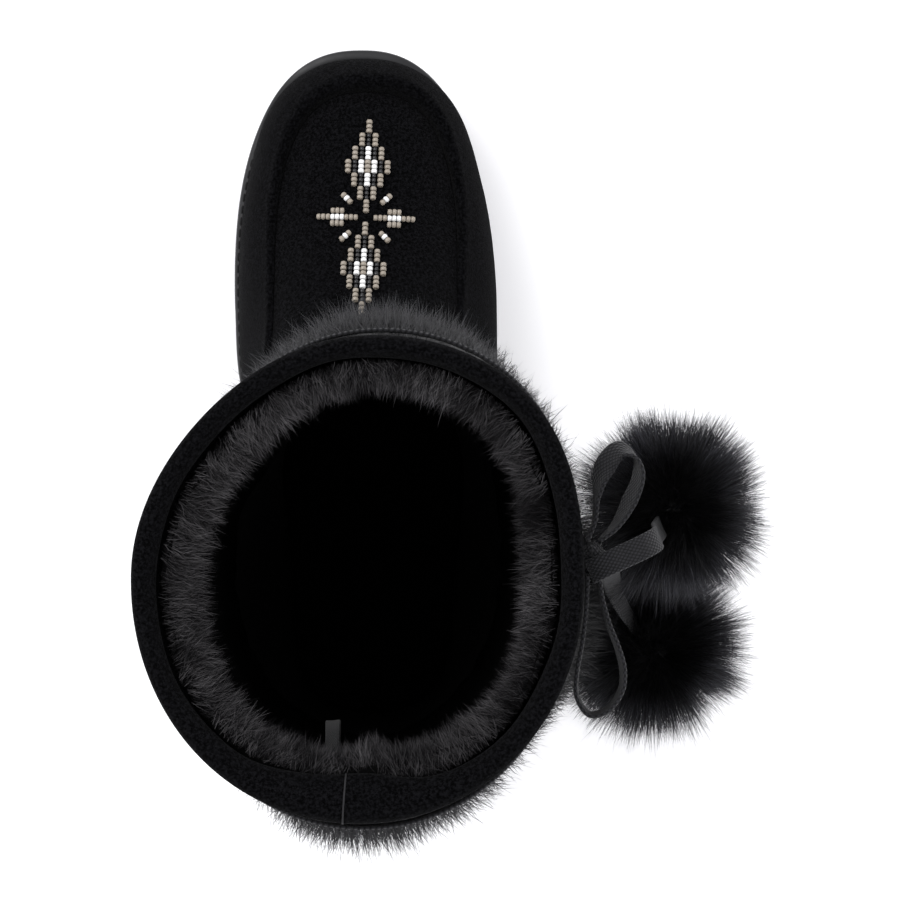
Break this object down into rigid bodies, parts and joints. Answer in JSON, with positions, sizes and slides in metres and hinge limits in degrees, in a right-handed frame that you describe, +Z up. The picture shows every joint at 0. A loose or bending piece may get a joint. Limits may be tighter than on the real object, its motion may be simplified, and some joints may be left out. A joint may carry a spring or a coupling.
{
  "type": "mukluk boot",
  "caption": "Tall suede winter boot for the right foot, with a cup sole, beaded vamp, fur band under a folded collar and a tied lace ending in fur pompoms.",
  "frame": {"origin": "on the floor, on the tread under the middle of the heel", "axes": "+Z up, +Y towards the toe, +X towards the outer side of the right foot"},
  "size_m": [0.2154, 0.2967, 0.3103],
  "materials": {
    "rubber": "dark grey moulded rubber, slightly glossy",
    "fleece": "charcoal pile",
    "suede": "black suede with a fine nap",
    "fur": "soft charcoal and black fur",
    "lace": "flat woven charcoal lace",
    "ribbon": "dark woven ribbon",
    "beads": "opaque glass seed beads in tan, white and black"
  },
  "bodies": {
    "root": {"outsole": "rubber", "insole": "fleece", "upper": "suede", "foot_wrap": "suede", "collar": "suede", "lining": "fleece", "fur_band": "fur", "lace_wrap": "lace", "bow_knot": "lace", "bow_loop_front": "lace", "bow_loop_back": "lace", "lace_end_front": "lace", "lace_end_back": "lace", "pompom_front": "fur", "pompom_back": "fur", "pull_loop": "ribbon", "bead_diamond_toe": "beads", "bead_diamond_instep": "beads", "bead_cross_inner": "beads", "bead_cross_outer": "beads", "bead_ray_1": "beads", "bead_ray_2": "beads", "bead_ray_3": "beads", "bead_ray_4": "beads"}
  },
  "joints": []
}
